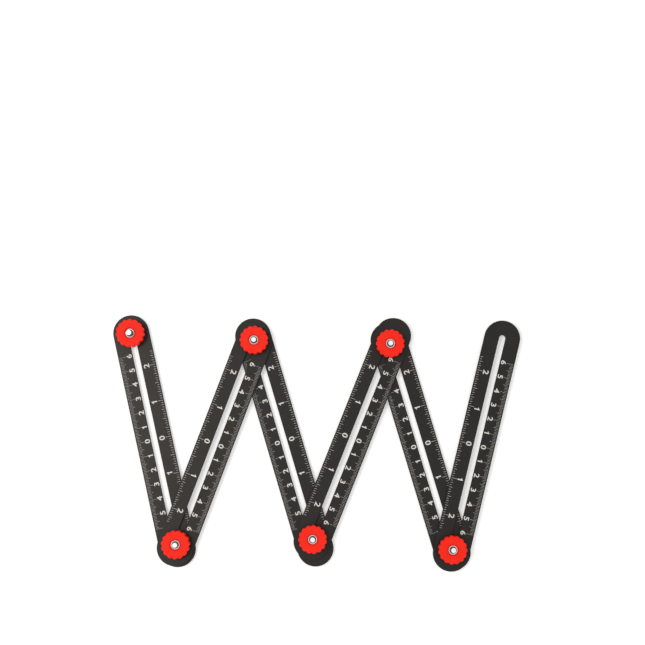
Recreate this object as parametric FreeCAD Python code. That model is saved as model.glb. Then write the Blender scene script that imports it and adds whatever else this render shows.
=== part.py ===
import FreeCAD, Part
import math
import os

# Folding ruler: six slotted arms in two layers, joined at five pivots.
# Arms 1, 3 and 5 lie below, arms 2, 4 and 6 above. Millimetres, +Z up.
# The origin is on the resting plane, under the middle of the arms' outline.

# Arms
arm_width = 24.8
arm_thickness = 1.5
arm_edge_chamfer = 0.15
slot_centres = 151.5
slot_width = 4.4

# How the arms lie: the direction of arm 3, and the angle between neighbours at pivots 1 to 5
arm_3_direction = 106.6
rest_angles = [33.5, 37.3, 38.4, 38.4, 30.6]

# How far each bolt sits inside the round end of a slot: bolts 0 to 5 in the lower arms,
# and bolts 1 to 5 in the upper arms
lower_insets = [0.6, 3.4, 3.4, 6.7, 3.0, 2.2]
upper_insets = [2.7, 0.2, 1.8, 6.3, 2.8]

# Bolts: a flat head under the lower arm, a neck with two flats in its slot, and a round shank
bolt_diameter = 4.0
bolt_length = 15.0
bolt_tip_chamfer = 0.4
bolt_head_diameter = 12.0
bolt_head_thickness = 1.6
bolt_head_chamfer = 0.4
neck_diameter = 4.8
neck_side_clearance = 0.08
neck_depth_clearance = 0.2

# Spacers between the arms, and washers under the knobs
spacer_diameter = 11.0
spacer_thickness = 0.5
washer_diameter = 10.0
washer_thickness = 0.5
bolt_running_clearance = 0.05

# Knobs
knob_diameter = 19.4
knob_height = 8.0
knob_teeth = 15
tooth_tip_radius = 1.9
tooth_valley_radius = 0.3
knob_edge_round = 0.5
knob_foot_diameter = 14.0
knob_foot_height = 1.0
knob_recess_diameter = 7.6
knob_recess_depth = 0.8
knob_recess_slope = 0.25
knob_rest_turns = [-5.0, 4.5, 11.7, -10.5, 11.2, -1.2]

# Threaded inserts in the knobs
insert_rim_diameter = 6.3
insert_rim_thickness = 0.8
insert_rim_chamfer = 0.2
insert_body_diameter = 5.8
insert_body_height = 6.0
insert_mouth_diameter = 4.9
insert_mouth_depth = 3.0

# Levels, each standing on the one below
lower_arm_bottom = bolt_head_thickness
lower_arm_top = lower_arm_bottom + arm_thickness
upper_arm_bottom = lower_arm_top + spacer_thickness
upper_arm_top = upper_arm_bottom + arm_thickness

pivots = range(1, 6)
half_slot = slot_centres / 2


def direction(angle):
    """Unit vector at an angle in degrees from +X."""
    return FreeCAD.Vector(math.cos(math.radians(angle)), math.sin(math.radians(angle)), 0)


def end_sign(pivot):
    """Even pivots are at an arm's far end, along its direction, and odd pivots at its near end."""
    return 1 if pivot % 2 == 0 else -1


def lower_arm(pivot):
    """Number of the lower arm that a bolt's neck sits in."""
    return {0: 1, 1: 1, 2: 3, 3: 3, 4: 5, 5: 5}[pivot]


def upper_arm(pivot):
    """Number of the upper arm that a bolt passes through."""
    return {1: 2, 2: 2, 3: 4, 4: 4, 5: 6}[pivot]


def bolt_offset(arm, pivot):
    """Place of a bolt along an arm, from the arm's middle."""
    inset = lower_insets[pivot] if arm == lower_arm(pivot) else upper_insets[pivot - 1]
    return end_sign(pivot) * (half_slot - inset)


def lay_out():
    """Directions and middles of the arms, and places of the bolts, in the plane."""
    turn = {3: arm_3_direction}
    turn[2] = turn[3] - rest_angles[1]
    turn[1] = turn[2] + rest_angles[0]
    turn[4] = turn[3] - rest_angles[2]
    turn[5] = turn[4] + rest_angles[3]
    turn[6] = turn[5] - rest_angles[4]
    middle = {3: FreeCAD.Vector(0, 0, 0)}
    bolt = {}
    for pivot, placed, hung in ((2, 3, 2), (1, 2, 1), (3, 3, 4), (4, 4, 5), (5, 5, 6)):
        bolt[pivot] = middle[placed] + direction(turn[placed]) * bolt_offset(placed, pivot)
        middle[hung] = bolt[pivot] - direction(turn[hung]) * bolt_offset(hung, pivot)
    bolt[0] = middle[1] + direction(turn[1]) * bolt_offset(1, 0)
    ends = [middle[arm] + direction(turn[arm]) * (half_slot * side) for arm in middle for side in (-1, 1)]
    centre = FreeCAD.Vector(
        (min(end.x for end in ends) + max(end.x for end in ends)) / 2,
        (min(end.y for end in ends) + max(end.y for end in ends)) / 2,
        0,
    )
    middle = {arm: place - centre for arm, place in middle.items()}
    bolt = {pivot: place - centre for pivot, place in bolt.items()}
    return turn, middle, bolt


def set_down(shape, place, level, turn):
    """Copy of a shape turned about Z and moved to its place."""
    moved = shape.copy()
    moved.rotate(FreeCAD.Vector(0, 0, 0), FreeCAD.Vector(0, 0, 1), turn)
    moved.translate(FreeCAD.Vector(place.x, place.y, level))
    return moved


def round_ended(length, width, height):
    """Bar along X with full round ends; length is between the centres of the ends."""
    reach = length / 2
    side = width / 2
    outline = Part.Wire([
        Part.makeLine((-reach, -side, 0), (reach, -side, 0)),
        Part.Arc(
            FreeCAD.Vector(reach, -side, 0),
            FreeCAD.Vector(reach + side, 0, 0),
            FreeCAD.Vector(reach, side, 0),
        ).toShape(),
        Part.makeLine((reach, side, 0), (-reach, side, 0)),
        Part.Arc(
            FreeCAD.Vector(-reach, side, 0),
            FreeCAD.Vector(-reach - side, 0, 0),
            FreeCAD.Vector(-reach, -side, 0),
        ).toShape(),
    ])
    return Part.Face(outline).extrude(FreeCAD.Vector(0, 0, height))


def make_arm():
    """Flat slotted arm with broken edges, lying along X on Z = 0."""
    plate = round_ended(slot_centres, arm_width, arm_thickness)
    plate = plate.cut(round_ended(slot_centres, slot_width, arm_thickness))
    flat_edges = [edge for edge in plate.Edges if edge.BoundBox.ZLength < arm_edge_chamfer / 10]
    return plate.makeChamfer(arm_edge_chamfer, flat_edges)


def revolved(points):
    """Solid of revolution about Z from a closed outline of (radius, height) points."""
    corners = [FreeCAD.Vector(radius, 0, height) for radius, height in points]
    outline = Part.makePolygon(corners + corners[:1])
    return Part.Face(outline).revolve(FreeCAD.Vector(0, 0, 0), FreeCAD.Vector(0, 0, 1), 360)


def make_bolt():
    """Bolt standing on its flat head; the flats of the neck run along X."""
    head_radius = bolt_head_diameter / 2
    shank_radius = bolt_diameter / 2
    tip = bolt_head_thickness + bolt_length
    stem = revolved([
        (0, 0),
        (head_radius - bolt_head_chamfer, 0),
        (head_radius, bolt_head_chamfer),
        (head_radius, bolt_head_thickness),
        (shank_radius, bolt_head_thickness),
        (shank_radius, tip - bolt_tip_chamfer),
        (shank_radius - bolt_tip_chamfer, tip),
        (0, tip),
    ])
    neck_height = arm_thickness - neck_depth_clearance
    flats = slot_width - 2 * neck_side_clearance
    neck = Part.makeCylinder(neck_diameter / 2, neck_height)
    neck = neck.common(Part.makeBox(
        neck_diameter, flats, neck_height, FreeCAD.Vector(-neck_diameter / 2, -flats / 2, 0),
    ))
    neck.translate(FreeCAD.Vector(0, 0, bolt_head_thickness))
    return stem.fuse(neck).removeSplitter()


def make_ring(outer_diameter, thickness):
    """Flat washer that runs on the bolt."""
    disc = Part.makeCylinder(outer_diameter / 2, thickness)
    return disc.cut(Part.makeCylinder(bolt_diameter / 2 + bolt_running_clearance, thickness))


def knob_outline():
    """Closed wire of rounded teeth with small rounded valleys between them."""
    half_pitch = math.pi / knob_teeth
    tip_centre = knob_diameter / 2 - tooth_tip_radius
    across = tip_centre * math.sin(half_pitch)
    joined = tooth_tip_radius + tooth_valley_radius
    valley_centre = tip_centre * math.cos(half_pitch) + math.sqrt(joined ** 2 - across ** 2)
    share = tooth_tip_radius / joined

    def polar(radius, angle):
        return FreeCAD.Vector(radius * math.cos(angle), radius * math.sin(angle), 0)

    arcs = []
    for tooth in range(knob_teeth):
        middle = 2 * half_pitch * tooth
        tip = polar(tip_centre, middle)
        before = polar(valley_centre, middle - half_pitch)
        after = polar(valley_centre, middle + half_pitch)
        next_tip = polar(tip_centre, middle + 2 * half_pitch)
        start = tip + (before - tip) * share
        end = tip + (after - tip) * share
        next_start = next_tip + (after - next_tip) * share
        crest = polar(knob_diameter / 2, middle)
        bottom = polar(valley_centre - tooth_valley_radius, middle + half_pitch)
        arcs.append(Part.Arc(start, crest, end).toShape())
        arcs.append(Part.Arc(end, bottom, next_start).toShape())
    return Part.Wire(arcs)


def make_knob():
    """Toothed thumb knob on a plain round foot, with a seat for its insert."""
    body_height = knob_height - knob_foot_height
    body = Part.Face(knob_outline()).extrude(FreeCAD.Vector(0, 0, body_height))
    level_edges = [edge for edge in body.Edges if edge.BoundBox.ZLength < knob_edge_round / 10]
    body = body.makeFillet(knob_edge_round, level_edges)
    body.translate(FreeCAD.Vector(0, 0, knob_foot_height))
    foot = Part.makeCylinder(knob_foot_diameter / 2, 2 * knob_foot_height)
    knob = body.fuse(foot).removeSplitter()
    seat = knob_height - knob_recess_depth
    recess_radius = knob_recess_diameter / 2
    rim_radius = insert_rim_diameter / 2
    body_radius = insert_body_diameter / 2
    rim_bottom = seat - insert_rim_thickness
    hollow = revolved([
        (0, 0),
        (body_radius, 0),
        (body_radius, rim_bottom),
        (rim_radius, rim_bottom),
        (rim_radius, seat),
        (recess_radius - knob_recess_slope, seat),
        (recess_radius, knob_height),
        (0, knob_height),
    ])
    return knob.cut(hollow)


def make_insert():
    """Metal insert moulded into the knob, flush with the floor of its recess, with a wider mouth."""
    top = knob_height - knob_recess_depth
    bore = bolt_diameter / 2 + bolt_running_clearance
    mouth = insert_mouth_diameter / 2
    rim = insert_rim_diameter / 2
    return revolved([
        (bore, top - insert_rim_thickness - insert_body_height),
        (insert_body_diameter / 2, top - insert_rim_thickness - insert_body_height),
        (insert_body_diameter / 2, top - insert_rim_thickness),
        (rim, top - insert_rim_thickness),
        (rim, top - insert_rim_chamfer),
        (rim - insert_rim_chamfer, top),
        (mouth, top),
        (mouth, top - insert_mouth_depth),
        (bore, top - insert_mouth_depth),
    ])


def build():
    """All pieces by name, each in its place."""
    turn, middle, bolt = lay_out()
    origin = FreeCAD.Vector(0, 0, 0)
    pieces = {}
    arm_shape = make_arm()
    for arm in range(1, 7):
        level = lower_arm_bottom if arm % 2 else upper_arm_bottom
        pieces[f"arm_{arm}"] = set_down(arm_shape, middle[arm], level, turn[arm])
    bolt_shape = make_bolt()
    spacer_shape = make_ring(spacer_diameter, spacer_thickness)
    washer_shape = make_ring(washer_diameter, washer_thickness)
    knob_shape = make_knob()
    insert_shape = make_insert()
    for pivot in [0, *pivots]:
        place = bolt[pivot]
        arm_top = upper_arm_top if pivot in pivots else lower_arm_top
        knob_level = arm_top + washer_thickness
        pieces[f"bolt_{pivot}"] = set_down(bolt_shape, place, 0, turn[lower_arm(pivot)])
        if pivot in pivots:
            pieces[f"spacer_{pivot}"] = set_down(spacer_shape, place, lower_arm_top, 0)
        pieces[f"washer_{pivot}"] = set_down(washer_shape, place, arm_top, 0)
        turned = knob_rest_turns[pivot]
        pieces[f"knob_{pivot}"] = set_down(knob_shape, place, knob_level, turned)
        pieces[f"knob_insert_{pivot}"] = set_down(insert_shape, place, knob_level, turned)
    return pieces


def write_parts():
    """One STEP file for each piece."""
    os.makedirs("parts", exist_ok=True)
    for name, shape in build().items():
        shape.exportStep(f"parts/{name}.step")


write_parts()
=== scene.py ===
import bmesh
import bpy
import math
from mathutils import Matrix, Vector


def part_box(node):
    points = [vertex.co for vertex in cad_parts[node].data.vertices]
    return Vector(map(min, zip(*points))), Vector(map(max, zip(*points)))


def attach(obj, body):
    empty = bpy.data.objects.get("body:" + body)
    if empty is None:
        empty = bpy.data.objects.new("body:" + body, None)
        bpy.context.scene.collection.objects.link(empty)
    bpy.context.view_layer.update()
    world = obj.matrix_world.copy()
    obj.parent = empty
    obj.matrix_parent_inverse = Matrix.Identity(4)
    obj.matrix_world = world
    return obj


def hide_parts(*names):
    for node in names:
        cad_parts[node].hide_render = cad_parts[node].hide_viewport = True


# Folding ruler with six slotted arms: finishes, printed scales and screw threads.
# Metres, in the frame of the CAD part. Sizes written in millimetres are times MM.
MM = 0.001

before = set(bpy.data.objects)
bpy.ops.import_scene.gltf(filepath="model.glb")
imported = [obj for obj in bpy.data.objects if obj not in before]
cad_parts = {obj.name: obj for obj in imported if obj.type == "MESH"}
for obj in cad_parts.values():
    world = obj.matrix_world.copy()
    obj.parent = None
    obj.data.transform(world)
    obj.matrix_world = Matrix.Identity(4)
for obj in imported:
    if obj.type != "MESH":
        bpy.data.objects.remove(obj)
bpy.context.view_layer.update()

# Arms, and the print on them as read with the centimetre edge up, a little right of the middle
arm_width = 24.8 * MM
print_thickness = 0.015 * MM
print_offset = 0.32 * MM
print_merge_distance = 0.0001 * MM

# Rows of lines. A step (5, length) makes every fifth line longer by that length.
line_start = 0.75 * MM
line_levels = 4
centimetre = 10 * MM
metric_lines = {"half count": 60, "pitch": centimetre / 10, "line width": 0.1 * MM, "shortest": 2.25 * MM}
metric_steps = [(5, 1.4 * MM), (10, 1.1 * MM)]
inch = 25.4 * MM
inch_lines = {"half count": 38, "pitch": inch / 16, "line width": 0.16 * MM, "shortest": 1.3 * MM}
inch_steps = [(2, 0.4 * MM), (4, 0.5 * MM), (8, 0.6 * MM), (16, 0.8 * MM)]

# Rows of digits. Levels are measured from the arm's middle line, and shifts from a digit's own line.
metric_digits = [6, 5, 4, 3, 2, 1, 0, 1, 2, 3, 4, 5, 6]
metric_digit_shifts = [0] * len(metric_digits)
metric_digit_height = 3.6 * MM
metric_digit_level = 4.7 * MM
inch_digits = [2, 1, 0, 1, 2]
inch_digit_shifts = [0.3 * MM, 1.1 * MM, 0, 0, 0]
inch_digit_height = 3.8 * MM
inch_digit_level = -5.6 * MM

# Shape of the digits. The 1 is drawn in digit heights, as a stem with a slanting flag.
digit_boldness = 0.016
digit_widening = 1.24
digit_curve_steps = 4
stem_left = 0.21
stem_right = 0.42
outline_of_one = [
    (stem_right, 0), (stem_right, 1), (0.28, 1), (0.2, 0.86),
    (0, 0.76), (0, 0.6), (stem_left, 0.7), (stem_left, 0),
]

# Bolts. The neck's top is a height over the floor, and the flat on the thread's crests and roots
# is a part of the pitch.
bolt_radius = 2.0 * MM
bolt_tip_chamfer = 0.4 * MM
head_radius = 6.0 * MM
head_thickness = 1.6 * MM
head_chamfer = 0.4 * MM
head_top_edge = 0.1 * MM
neck_radius = 2.4 * MM
neck_half_flats = 2.12 * MM
neck_top = 2.9 * MM
thread_pitch = 0.7 * MM
thread_depth = 0.4 * MM
thread_flat = 3 / 26
rows_per_pitch = 8
bolt_sides = 48
bolt_sharp_angle = math.radians(35)
bolt_merge_distance = 0.001 * MM

# Mouth of the knobs' threaded inserts
insert_mouth_radius = 2.45 * MM

# Part of a noise's range that holds most of its values
noise_low = 0.3
noise_high = 0.7

# Size of the turning rings' pattern on metal, and how far a change of colour stays off an edge
ring_pattern = 0.72 * MM
colour_margin = 0.02 * MM

# Floor, room and lamp, where a room light of 1 is white
floor_reach = 3.0
floor_glow = 0.36
room_light = 0.71
lamp_size = 0.42
lamp_power = 6.5
lamp_colour = (1.0, 0.96, 0.9)
lamp_place = Vector((-0.63, 0.05, 1.3))

# Camera
camera_field = math.radians(26.0)
camera_tilt = math.radians(5.147)
camera_lean = math.radians(-0.278)
camera_place = (-0.59 * MM, -4.05 * MM, 967.3 * MM)


def middle_of(node, level=0.0):
    """Point at a level on the upright line through the middle of a CAD node's box."""
    low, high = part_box(node)
    middle = (low + high) / 2
    return Vector((middle.x, middle.y, level))


def arm_reading_angle(arm):
    """Direction of an arm's scales, from its box.

    Even arms lean right and are read down to the left. Odd arms lean left and are read upwards.
    """
    low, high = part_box(f"arm_{arm}")
    size = high - low
    if arm % 2 == 0:
        return math.atan2(size.y - arm_width, size.x - arm_width) + math.pi
    return math.atan2(size.y - arm_width, arm_width - size.x)


def lower_arm(pivot):
    """Number of the arm whose slot holds the neck of a pivot's bolt."""
    return pivot + 1 - pivot % 2


def put_in_scene(name, data):
    """Object that shows some data, linked to the scene."""
    made = bpy.data.objects.new(name, data)
    bpy.context.scene.collection.objects.link(made)
    return made


def plain_mesh(holder):
    """Mesh of an object's curve, or of its mesh with the modifiers applied."""
    bpy.context.view_layer.update()
    seen = holder.evaluated_get(bpy.context.evaluated_depsgraph_get())
    return bpy.data.meshes.new_from_object(seen)


# Node trees

def fill(tree, node, values):
    """Plain numbers or links for a node's first inputs."""
    for socket, value in zip(node.inputs, values):
        if isinstance(value, (int, float)):
            socket.default_value = value
        else:
            tree.links.new(value, socket)


def reckon(tree, operation, *values):
    """Result of a Math node."""
    node = tree.nodes.new("ShaderNodeMath")
    node.operation = operation
    fill(tree, node, values)
    return node.outputs[0]


def vector_of(tree, *values):
    """Vector from three numbers or links."""
    node = tree.nodes.new("ShaderNodeCombineXYZ")
    fill(tree, node, values)
    return node.outputs[0]


def new_tree(name, sockets):
    """Tree with its named inputs, and the outputs of its input node."""
    tree = bpy.data.node_groups.new(name, "GeometryNodeTree")
    for label, kind in sockets:
        tree.interface.new_socket(name=label, in_out="INPUT", socket_type=f"NodeSocket{kind}")
    tree.interface.new_socket(name="made", in_out="OUTPUT", socket_type="NodeSocketGeometry")
    return tree, tree.nodes.new("NodeGroupInput").outputs


def end_tree(tree, geometry, finish):
    """Real geometry with its material at the end of a tree."""
    realized = tree.nodes.new("GeometryNodeRealizeInstances")
    painted = tree.nodes.new("GeometryNodeSetMaterial")
    tree.links.new(geometry, realized.inputs["Geometry"])
    tree.links.new(realized.outputs["Geometry"], painted.inputs["Geometry"])
    tree.links.new(finish, painted.inputs["Material"])
    tree.links.new(painted.outputs["Geometry"], tree.nodes.new("NodeGroupOutput").inputs["made"])


def grown(tree, values, start):
    """Plain mesh that a tree makes from a starting mesh and its named values."""
    holder = put_in_scene(tree.name, start)
    maker = holder.modifiers.new("maker", "NODES")
    maker.node_group = tree
    for item in tree.interface.items_tree:
        if item.in_out == "INPUT" and item.name in values:
            maker[item.identifier] = values[item.name]
    mesh = plain_mesh(holder)
    holder.modifiers.remove(maker)
    bpy.data.objects.remove(holder)
    return mesh


# Materials

def new_finish(name):
    """Material with its node tree and its Principled shader."""
    finish = bpy.data.materials.new(name)
    finish.use_nodes = True
    tree = finish.node_tree
    return finish, tree, tree.nodes["Principled BSDF"]


def placed_coordinates(tree, centre=(0, 0, 0), angle=0.0, size=(1, 1, 1)):
    """Object coordinates measured from a centre, turned about Z and divided by a size."""
    place = tree.nodes.new("ShaderNodeTexCoord")
    turned = tree.nodes.new("ShaderNodeMapping")
    turned.vector_type = "TEXTURE"
    turned.inputs["Location"].default_value = centre
    turned.inputs["Rotation"].default_value = (0, 0, angle)
    turned.inputs["Scale"].default_value = size
    tree.links.new(place.outputs["Object"], turned.inputs["Vector"])
    return turned.outputs["Vector"]


def grain(tree, *size, angle=0.0, detail=3.0):
    """Noise value with clouds of one size, or of three sizes along turned axes."""
    noise = tree.nodes.new("ShaderNodeTexNoise")
    noise.inputs["Scale"].default_value = 1.0
    noise.inputs["Detail"].default_value = detail
    sizes = size * 3 if len(size) == 1 else size
    tree.links.new(placed_coordinates(tree, angle=angle, size=sizes), noise.inputs["Vector"])
    return noise.outputs[0]


def spread(tree, value, low, high):
    """A noise value mapped to a range."""
    stretch = tree.nodes.new("ShaderNodeMapRange")
    stretch.inputs["From Min"].default_value = noise_low
    stretch.inputs["From Max"].default_value = noise_high
    stretch.inputs["To Min"].default_value = low
    stretch.inputs["To Max"].default_value = high
    tree.links.new(value, stretch.inputs["Value"])
    return stretch.outputs["Result"]


def tint(tree, value, shade, light):
    """Colour between two shades by a noise value."""
    ramp = tree.nodes.new("ShaderNodeValToRGB")
    ramp.color_ramp.elements[0].position = noise_low
    ramp.color_ramp.elements[1].position = noise_high
    ramp.color_ramp.elements[0].color = (*shade, 1)
    ramp.color_ramp.elements[1].color = (*light, 1)
    tree.links.new(value, ramp.inputs["Fac"])
    return ramp.outputs["Color"]


def relief(tree, shader, height, strength, distance):
    """Bump on a shader from a height value."""
    bump = tree.nodes.new("ShaderNodeBump")
    bump.inputs["Strength"].default_value = strength
    bump.inputs["Distance"].default_value = distance
    tree.links.new(height, bump.inputs["Height"])
    tree.links.new(bump.outputs["Normal"], shader.inputs["Normal"])


def black_anodised(arm):
    """Satin black anodised aluminium with a fine rolled grain along the arm."""
    finish, tree, shader = new_finish(f"black anodised arm {arm}")
    rolled = grain(tree, 6 * MM, 0.25 * MM, 0.25 * MM, angle=arm_reading_angle(arm))
    cloud = grain(tree, 9 * MM, detail=2.0)
    black = tint(tree, cloud, shade=(0.006, 0.0054, 0.0046), light=(0.009, 0.0082, 0.0072))
    tree.links.new(black, shader.inputs["Base Color"])
    tree.links.new(spread(tree, rolled, low=0.35, high=0.43), shader.inputs["Roughness"])
    shader.inputs["Specular IOR Level"].default_value = 0.28
    shader.inputs["Specular Tint"].default_value = (1.0, 0.95, 0.91, 1)
    relief(tree, shader, rolled, strength=0.25, distance=0.01 * MM)
    return finish


def scale_print():
    """Matt white print of the scales, a little uneven."""
    finish, tree, shader = new_finish("white scale print")
    worn = grain(tree, 0.4 * MM)
    white = tint(tree, worn, shade=(0.64, 0.625, 0.57), light=(0.76, 0.745, 0.68))
    tree.links.new(white, shader.inputs["Base Color"])
    shader.inputs["Roughness"].default_value = 0.6
    return finish


def red_plastic():
    """Moulded bright red plastic."""
    finish, tree, shader = new_finish("red moulded plastic")
    fine = grain(tree, 0.5 * MM)
    cloud = grain(tree, 5 * MM, detail=2.0)
    red = tint(tree, cloud, shade=(0.93, 0.014, 0.003), light=(0.98, 0.02, 0.005))
    tree.links.new(red, shader.inputs["Base Color"])
    tree.links.new(spread(tree, cloud, low=0.48, high=0.56), shader.inputs["Roughness"])
    shader.inputs["Specular IOR Level"].default_value = 0.18
    relief(tree, shader, fine, strength=0.12, distance=0.02 * MM)
    return finish


def turned_metal(name, centre, shade, light, roughness):
    """Metal with faint turning rings round an upright axis, and its tree and shader."""
    finish, tree, shader = new_finish(name)
    rings = tree.nodes.new("ShaderNodeTexWave")
    rings.wave_type = "RINGS"
    rings.rings_direction = "Z"
    rings.inputs["Scale"].default_value = 1.0
    rings.inputs["Distortion"].default_value = 1.5
    round_axis = placed_coordinates(tree, centre=centre, size=(ring_pattern, ring_pattern, 1))
    tree.links.new(round_axis, rings.inputs["Vector"])
    cloud = grain(tree, 1.5 * MM)
    uneven = spread(tree, cloud, low=roughness - 0.05, high=roughness + 0.05)
    tree.links.new(tint(tree, cloud, shade, light), shader.inputs["Base Color"])
    tree.links.new(uneven, shader.inputs["Roughness"])
    shader.inputs["Metallic"].default_value = 1.0
    relief(tree, shader, rings.outputs["Fac"], strength=0.15, distance=0.01 * MM)
    return finish, tree, shader


def recolour(tree, shader, where, colour):
    """Another colour in place of the shader's own where a value is 1."""
    own = shader.inputs["Base Color"].links[0].from_socket
    mixed = tree.nodes.new("ShaderNodeMixRGB")
    tree.links.new(where, mixed.inputs["Fac"])
    tree.links.new(own, mixed.inputs["Color1"])
    mixed.inputs["Color2"].default_value = (*colour, 1)
    tree.links.new(mixed.outputs["Color"], shader.inputs["Base Color"])


def from_axis(tree, centre):
    """Distance from an upright axis and height over the floor."""
    place = tree.nodes.new("ShaderNodeSeparateXYZ")
    tree.links.new(placed_coordinates(tree, centre=centre), place.inputs[0])
    across = reckon(tree, "MULTIPLY", place.outputs["X"], place.outputs["X"])
    square = reckon(tree, "MULTIPLY_ADD", place.outputs["Y"], place.outputs["Y"], across)
    return reckon(tree, "SQRT", square), place.outputs["Z"]


def bolt_zinc(name, centre, tip_level):
    """Zinc plating, with painted shade that darkens the screw thread and a painted highlight that
    brightens the tip.
    """
    zinc = {"shade": (0.58, 0.58, 0.59), "light": (0.68, 0.68, 0.68), "roughness": 0.17}
    # Painted shade: the thread is coloured dark for the shade in its grooves
    painted_thread_shade = (0.2, 0.16, 0.14)
    # Painted highlight: the tip is coloured brighter for the light it catches
    painted_tip_highlight = (0.88, 0.88, 0.87)
    finish, tree, shader = turned_metal(name, centre, **zinc)
    distance, height = from_axis(tree, centre)
    on_shank = reckon(tree, "GREATER_THAN", height, neck_top)
    outside = reckon(tree, "GREATER_THAN", distance, bolt_radius - bolt_tip_chamfer)
    recolour(tree, shader, reckon(tree, "MULTIPLY", on_shank, outside), painted_thread_shade)
    on_tip = reckon(tree, "GREATER_THAN", height, tip_level - colour_margin)
    inside = reckon(tree, "SUBTRACT", 1, outside)
    recolour(tree, shader, reckon(tree, "MULTIPLY", on_tip, inside), painted_tip_highlight)
    return finish


def insert_nickel(name, centre):
    """Bright nickel, with painted shade that darkens the inside of the mouth round the bolt."""
    nickel = {"shade": (0.62, 0.6, 0.56), "light": (0.74, 0.72, 0.68), "roughness": 0.13}
    # Painted shade: the mouth is coloured near black for the shade inside it
    painted_mouth_shade = (0.06, 0.045, 0.04)
    finish, tree, shader = turned_metal(name, centre, **nickel)
    distance = from_axis(tree, centre)[0]
    inside = reckon(tree, "LESS_THAN", distance, insert_mouth_radius + colour_margin)
    recolour(tree, shader, inside, painted_mouth_shade)
    return finish


def washer_steel(name, centre):
    """Plain steel of the washers."""
    steel = {"shade": (0.55, 0.55, 0.56), "light": (0.68, 0.68, 0.69), "roughness": 0.3}
    return turned_metal(name, centre, **steel)[0]


def black_nylon():
    """Matt black nylon of the spacers."""
    finish, tree, shader = new_finish("black nylon")
    fine = grain(tree, 0.3 * MM)
    black = tint(tree, fine, shade=(0.012, 0.012, 0.013), light=(0.02, 0.02, 0.021))
    tree.links.new(black, shader.inputs["Base Color"])
    shader.inputs["Roughness"].default_value = 0.55
    relief(tree, shader, fine, strength=0.2, distance=0.02 * MM)
    return finish


def dress(node, finish):
    """One finish on a CAD node."""
    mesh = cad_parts[node].data
    mesh.materials.clear()
    mesh.materials.append(finish)


# Printed scales

def scale_line_tree():
    """Row of lines whose lengths follow their numbers, standing on Y = 0."""
    sockets = [
        ("start", "Geometry"), ("half count", "Int"), ("pitch", "Float"), ("line width", "Float"),
        ("shortest", "Float"), ("thickness", "Float"), ("print", "Material"),
    ]
    for level in range(line_levels):
        sockets += [(f"every {level}", "Int"), (f"step {level}", "Float")]
    tree, given = new_tree("scale lines", sockets)
    count = reckon(tree, "MULTIPLY_ADD", given["half count"], 2, 1)
    half = reckon(tree, "MULTIPLY", given["half count"], given["pitch"])
    left_end = reckon(tree, "MULTIPLY", half, -1)
    row = tree.nodes.new("GeometryNodeMeshLine")
    tree.links.new(count, row.inputs["Count"])
    tree.links.new(vector_of(tree, left_end, 0, 0), row.inputs["Start Location"])
    tree.links.new(vector_of(tree, given["pitch"], 0, 0), row.inputs["Offset"])
    number = tree.nodes.new("GeometryNodeInputIndex")
    signed = reckon(tree, "SUBTRACT", number.outputs[0], given["half count"])
    length = given["shortest"]
    for level in range(line_levels):
        left_over = reckon(tree, "FLOORED_MODULO", signed, given[f"every {level}"])
        on_level = reckon(tree, "LESS_THAN", left_over, 0.5)
        length = reckon(tree, "MULTIPLY_ADD", on_level, given[f"step {level}"], length)
    block = tree.nodes.new("GeometryNodeMeshCube")
    block.inputs["Size"].default_value = (1, 1, 1)
    raised = tree.nodes.new("GeometryNodeTransform")
    raised.inputs["Translation"].default_value = (0, 0.5, 0.5)
    tree.links.new(block.outputs["Mesh"], raised.inputs["Geometry"])
    placed = tree.nodes.new("GeometryNodeInstanceOnPoints")
    tree.links.new(row.outputs["Mesh"], placed.inputs["Points"])
    tree.links.new(raised.outputs["Geometry"], placed.inputs["Instance"])
    block_size = vector_of(tree, given["line width"], length, given["thickness"])
    tree.links.new(block_size, placed.inputs["Scale"])
    end_tree(tree, placed.outputs["Instances"], given["print"])
    return tree


def scale_lines(tree, lines, steps, finish):
    """Plain mesh of one row of scale lines."""
    values = {**lines, "thickness": print_thickness, "print": finish}
    for level in range(line_levels):
        every, step = steps[level] if level < len(steps) else (1, 0.0)
        values[f"every {level}"] = every
        values[f"step {level}"] = step
    return grown(tree, values, bpy.data.meshes.new("scale lines"))


def digit_curve(digit):
    """Filled outline of a bold digit, 1 thick."""
    if digit == 1:
        curve = bpy.data.curves.new("digit 1", "CURVE")
        curve.dimensions = "2D"
        curve.fill_mode = "BOTH"
        stroke = curve.splines.new("POLY")
        stroke.points.add(len(outline_of_one) - 1)
        for point, (x, y) in zip(stroke.points, outline_of_one):
            point.co = (x, y, 0, 1)
        stroke.use_cyclic_u = True
    else:
        curve = bpy.data.curves.new(f"digit {digit}", "FONT")
        curve.body = str(digit)
        curve.offset = digit_boldness
        curve.resolution_u = digit_curve_steps
    curve.extrude = 0.5
    return curve


def digit_mesh(digit, height):
    """Bold digit as a thin solid, upright, with its middle at the origin and its foot at Z = 0."""
    holder = put_in_scene("digit", digit_curve(digit))
    mesh = plain_mesh(holder)
    bpy.data.objects.remove(holder)
    lows = [min(v.co[axis] for v in mesh.vertices) for axis in range(3)]
    highs = [max(v.co[axis] for v in mesh.vertices) for axis in range(3)]
    upright = height / (highs[1] - lows[1])
    if digit == 1:
        middle = (stem_left + stem_right) / 2
        across = upright
    else:
        middle = (lows[0] + highs[0]) / 2
        across = upright * digit_widening
    centre = Vector((middle, (lows[1] + highs[1]) / 2, lows[2]))
    mesh.transform(Matrix.Diagonal((across, upright, print_thickness, 1)) @ Matrix.Translation(-centre))
    return mesh


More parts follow.
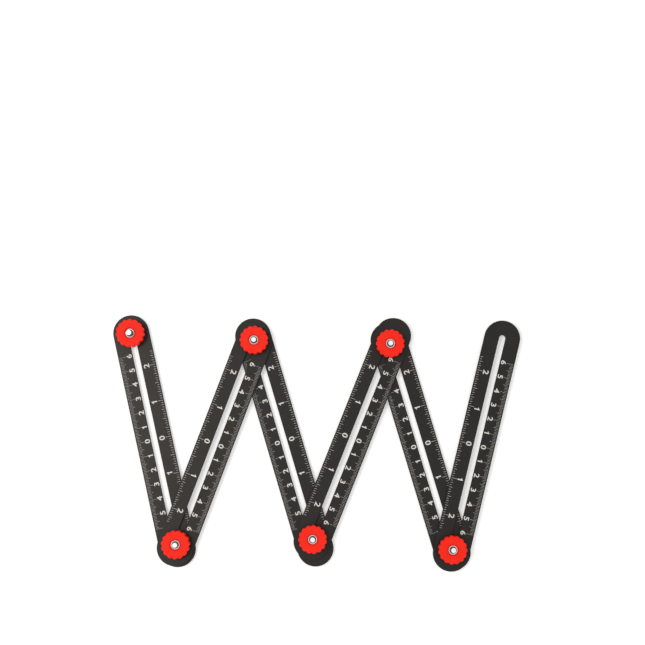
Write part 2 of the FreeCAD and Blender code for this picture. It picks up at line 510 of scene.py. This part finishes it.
def gather(name, placed_meshes, finish):
    """Object of one finish from meshes and the matrices that place them."""
    gathered = bmesh.new()
    for mesh, matrix in placed_meshes:
        first_vertex = len(gathered.verts)
        gathered.from_mesh(mesh)
        gathered.verts.ensure_lookup_table()
        bmesh.ops.transform(gathered, matrix=matrix, verts=gathered.verts[first_vertex:])
    for face in gathered.faces:
        face.material_index = 0
    bmesh.ops.remove_doubles(gathered, verts=gathered.verts, dist=print_merge_distance)
    bmesh.ops.recalc_face_normals(gathered, faces=gathered.faces)
    made = bpy.data.meshes.new(name)
    gathered.to_mesh(made)
    gathered.free()
    made.materials.append(finish)
    return put_in_scene(name, made)


def placed_lines(finish):
    """Both rows of lines, and their places on an arm that lies along X with its middle at the origin."""
    tree = scale_line_tree()
    metric = scale_lines(tree, metric_lines, metric_steps, finish)
    imperial = scale_lines(tree, inch_lines, inch_steps, finish)
    edge = arm_width / 2 - line_start
    half_turn = Matrix.Rotation(math.pi, 4, "Z")
    return [
        (metric, Matrix.Translation((0, edge, 0)) @ half_turn),
        (imperial, Matrix.Translation((0, -edge, 0))),
    ]


def placed_digits(digits, shifts, height, pitch, level):
    """A row of digits, and their places on the same arm."""
    shapes = {digit: digit_mesh(digit, height) for digit in sorted(set(digits))}
    row = []
    for number, (digit, shift) in enumerate(zip(digits, shifts)):
        along = (number - len(digits) // 2) * pitch + shift
        row.append((shapes[digit], Matrix.Translation((along, level, 0))))
    return row


def print_scales():
    """White lines and digits on the upper face of every arm."""
    white = scale_print()
    strip = placed_lines(white)
    strip += placed_digits(
        metric_digits, metric_digit_shifts, metric_digit_height, centimetre, metric_digit_level,
    )
    strip += placed_digits(inch_digits, inch_digit_shifts, inch_digit_height, inch, inch_digit_level)
    aside = Matrix.Translation((print_offset, 0, 0))
    for arm in range(1, 7):
        node = f"arm_{arm}"
        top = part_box(node)[1].z
        turn = Matrix.Rotation(arm_reading_angle(arm), 4, "Z")
        lie = Matrix.Translation(middle_of(node, top)) @ turn @ aside
        piece = gather(f"{node}_scales", [(mesh, lie @ matrix) for mesh, matrix in strip], white)
        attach(piece, node)


# Bolts with their screw threads

def bolt_outline(foot, tip):
    """Edge chain in the XZ plane, from the middle of a bolt's head to the middle of its tip."""
    top_of_head = foot + head_thickness
    points = [
        (0.0, foot),
        (head_radius - head_chamfer, foot),
        (head_radius, foot + head_chamfer),
        (head_radius, top_of_head - head_top_edge),
        (head_radius - head_top_edge, top_of_head),
        (neck_radius, top_of_head),
        (neck_radius, neck_top),
    ]
    rows = round((tip - neck_top) / thread_pitch * rows_per_pitch)
    for row in range(rows + 1):
        height = neck_top + (tip - neck_top) * row / rows
        points.append((min(bolt_radius, bolt_radius - bolt_tip_chamfer + tip - height), height))
    points.append((0.0, tip))
    outline = bpy.data.meshes.new("bolt outline")
    chain = [(row, row + 1) for row in range(len(points) - 1)]
    outline.from_pydata([(radius, 0, height) for radius, height in points], chain, [])
    return outline


def bolt_tree():
    """Bolt turned about Z from its outline, with a cut thread and two flats along X on its neck."""
    tree, given = new_tree("threaded bolt", [
        ("outline", "Geometry"), ("rows", "Int"), ("sides", "Int"), ("pitch", "Float"),
        ("depth", "Float"), ("crest edge", "Float"), ("flank slope", "Float"),
        ("shank radius", "Float"), ("neck radius", "Float"), ("half flats", "Float"),
        ("finish", "Material"),
    ])
    last_row = reckon(tree, "SUBTRACT", given["rows"], 1)
    columns = reckon(tree, "ADD", given["sides"], 1)
    sheet = tree.nodes.new("GeometryNodeMeshGrid")
    fill(tree, sheet, (given["sides"], last_row, columns, given["rows"]))
    place = tree.nodes.new("GeometryNodeInputPosition")
    on_sheet = tree.nodes.new("ShaderNodeSeparateXYZ")
    tree.links.new(place.outputs[0], on_sheet.inputs[0])
    turn = reckon(tree, "ADD", reckon(tree, "DIVIDE", on_sheet.outputs["X"], given["sides"]), 0.5)
    row = reckon(tree, "ROUND", reckon(tree, "MULTIPLY_ADD", last_row, 0.5, on_sheet.outputs["Y"]))
    sampled = tree.nodes.new("GeometryNodeSampleIndex")
    sampled.data_type = "FLOAT_VECTOR"
    tree.links.new(given["outline"], sampled.inputs["Geometry"])
    tree.links.new(place.outputs[0], sampled.inputs["Value"])
    tree.links.new(row, sampled.inputs["Index"])
    on_outline = tree.nodes.new("ShaderNodeSeparateXYZ")
    tree.links.new(sampled.outputs[0], on_outline.inputs[0])
    radius = on_outline.outputs["X"]
    height = on_outline.outputs["Z"]
    hair = 0.01 * MM
    beyond_shank = reckon(tree, "GREATER_THAN", radius, reckon(tree, "ADD", given["shank radius"], hair))
    beyond_neck = reckon(tree, "GREATER_THAN", radius, reckon(tree, "ADD", given["neck radius"], hair))
    wound = reckon(tree, "SUBTRACT", reckon(tree, "DIVIDE", height, given["pitch"]), turn)
    from_root = reckon(tree, "ABSOLUTE", reckon(tree, "SUBTRACT", reckon(tree, "FRACT", wound), 0.5))
    from_crest = reckon(tree, "SUBTRACT", given["crest edge"], from_root)
    flank = reckon(tree, "MULTIPLY", from_crest, given["flank slope"])
    cut = reckon(tree, "MINIMUM", reckon(tree, "MAXIMUM", flank, 0), 1)
    thread = reckon(tree, "SUBTRACT", given["shank radius"], reckon(tree, "MULTIPLY", cut, given["depth"]))
    angle = reckon(tree, "MULTIPLY", turn, 2 * math.pi)
    cosine = reckon(tree, "COSINE", angle)
    sine = reckon(tree, "SINE", angle)
    # The flats are straight lines at a set distance from the axis, and the hair keeps off a zero
    steepness = reckon(tree, "MAXIMUM", reckon(tree, "ABSOLUTE", sine), hair)
    flats = reckon(tree, "DIVIDE", given["half flats"], steepness)
    # A limit that is raised by a metre no longer cuts anything
    radius = reckon(tree, "MINIMUM", radius, reckon(tree, "ADD", thread, beyond_shank))
    radius = reckon(tree, "MINIMUM", radius, reckon(tree, "ADD", flats, beyond_neck))
    x = reckon(tree, "MULTIPLY", radius, cosine)
    y = reckon(tree, "MULTIPLY", radius, sine)
    turned = vector_of(tree, x, y, height)
    wrapped = tree.nodes.new("GeometryNodeSetPosition")
    tree.links.new(sheet.outputs["Mesh"], wrapped.inputs["Geometry"])
    tree.links.new(turned, wrapped.inputs["Position"])
    closed = tree.nodes.new("GeometryNodeMergeByDistance")
    closed.inputs["Distance"].default_value = bolt_merge_distance
    tree.links.new(wrapped.outputs["Geometry"], closed.inputs["Geometry"])
    end_tree(tree, closed.outputs["Geometry"], given["finish"])
    return tree


def make_bolts():
    """Threaded bolts that stand for the plain CAD ones."""
    tree = bolt_tree()
    sizes = {
        "sides": bolt_sides, "pitch": thread_pitch, "depth": thread_depth,
        "crest edge": (1 - thread_flat) / 2, "flank slope": 1 / (0.5 - thread_flat),
        "shank radius": bolt_radius, "neck radius": neck_radius, "half flats": neck_half_flats,
    }
    for pivot in range(6):
        node = f"bolt_{pivot}"
        low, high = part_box(node)
        axis = middle_of(node)
        zinc = bolt_zinc(f"zinc steel bolt {pivot}", axis, high.z)
        outline = bolt_outline(low.z, high.z)
        made = grown(tree, {**sizes, "rows": len(outline.vertices), "finish": zinc}, outline)
        turn = Matrix.Rotation(arm_reading_angle(lower_arm(pivot)), 4, "Z")
        made.transform(Matrix.Translation(axis) @ turn)
        made.shade_smooth()
        made.set_sharp_from_angle(angle=bolt_sharp_angle)
        bolt = put_in_scene(f"{node}_threaded", made)
        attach(bolt, node)
        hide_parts(node)


def dress_pieces():
    """Finishes of the CAD nodes."""
    red = red_plastic()
    nylon = black_nylon()
    for arm in range(1, 7):
        dress(f"arm_{arm}", black_anodised(arm))
    for pivot in range(6):
        axis = middle_of(f"washer_{pivot}")
        dress(f"knob_{pivot}", red)
        dress(f"knob_insert_{pivot}", insert_nickel(f"nickel insert {pivot}", axis))
        dress(f"washer_{pivot}", washer_steel(f"steel washer {pivot}", axis))
        if pivot > 0:
            dress(f"spacer_{pivot}", nylon)


# Floor, light and camera

def seen_directly(tree):
    """1 for camera, mirrored and transmitted rays, and 0 for the light on things."""
    path = tree.nodes.new("ShaderNodeLightPath")
    seen = reckon(tree, "ADD", path.outputs["Is Camera Ray"], path.outputs["Is Glossy Ray"])
    seen = reckon(tree, "ADD", seen, path.outputs["Is Transmission Ray"])
    return reckon(tree, "MINIMUM", seen, 1)


def lay_floor():
    """White floor at the part's resting plane, a little brighter to the camera."""
    corners = [(x * floor_reach, y * floor_reach, 0) for x, y in ((-1, -1), (1, -1), (1, 1), (-1, 1))]
    mesh = bpy.data.meshes.new("floor")
    mesh.from_pydata(corners, [], [(0, 1, 2, 3)])
    finish, tree, shader = new_finish("white floor")
    shader.inputs["Base Color"].default_value = (0.9, 0.9, 0.9, 1)
    shader.inputs["Roughness"].default_value = 0.9
    shader.inputs["Specular IOR Level"].default_value = 0.0
    shader.inputs["Emission Color"].default_value = (1, 1, 1, 1)
    glow = reckon(tree, "MULTIPLY", seen_directly(tree), floor_glow)
    tree.links.new(glow, shader.inputs["Emission Strength"])
    mesh.materials.append(finish)
    floor = put_in_scene("floor", mesh)


def light_room():
    """White room and one wide soft lamp overhead."""
    world = bpy.data.worlds.new("white room")
    bpy.context.scene.world = world
    world.use_nodes = True
    tree = world.node_tree
    background = tree.nodes["Background"]
    background.inputs["Color"].default_value = (1, 1, 1, 1)
    strength = reckon(tree, "MULTIPLY_ADD", seen_directly(tree), 1 - room_light, room_light)
    tree.links.new(strength, background.inputs["Strength"])
    lamp = bpy.data.lights.new("soft lamp", "AREA")
    lamp.shape = "SQUARE"
    lamp.size = lamp_size
    lamp.energy = lamp_power
    lamp.color = lamp_colour
    holder = put_in_scene("soft lamp", lamp)
    holder.location = lamp_place
    holder.rotation_euler = (-lamp_place).to_track_quat("-Z", "Y").to_euler()


def set_camera():
    """Camera almost straight above, as the photograph was taken."""
    data = bpy.data.cameras.new("camera")
    data.lens = data.sensor_width / 2 / math.tan(camera_field / 2)
    data.clip_start = 0.01
    data.clip_end = 20.0
    camera = put_in_scene("camera", data)
    camera.location = camera_place
    camera.rotation_euler = (camera_tilt, camera_lean, 0)
    bpy.context.scene.camera = camera


dress_pieces()
make_bolts()
print_scales()
lay_floor()
light_room()
set_camera()
bpy.context.scene.view_settings.view_transform = "Standard"
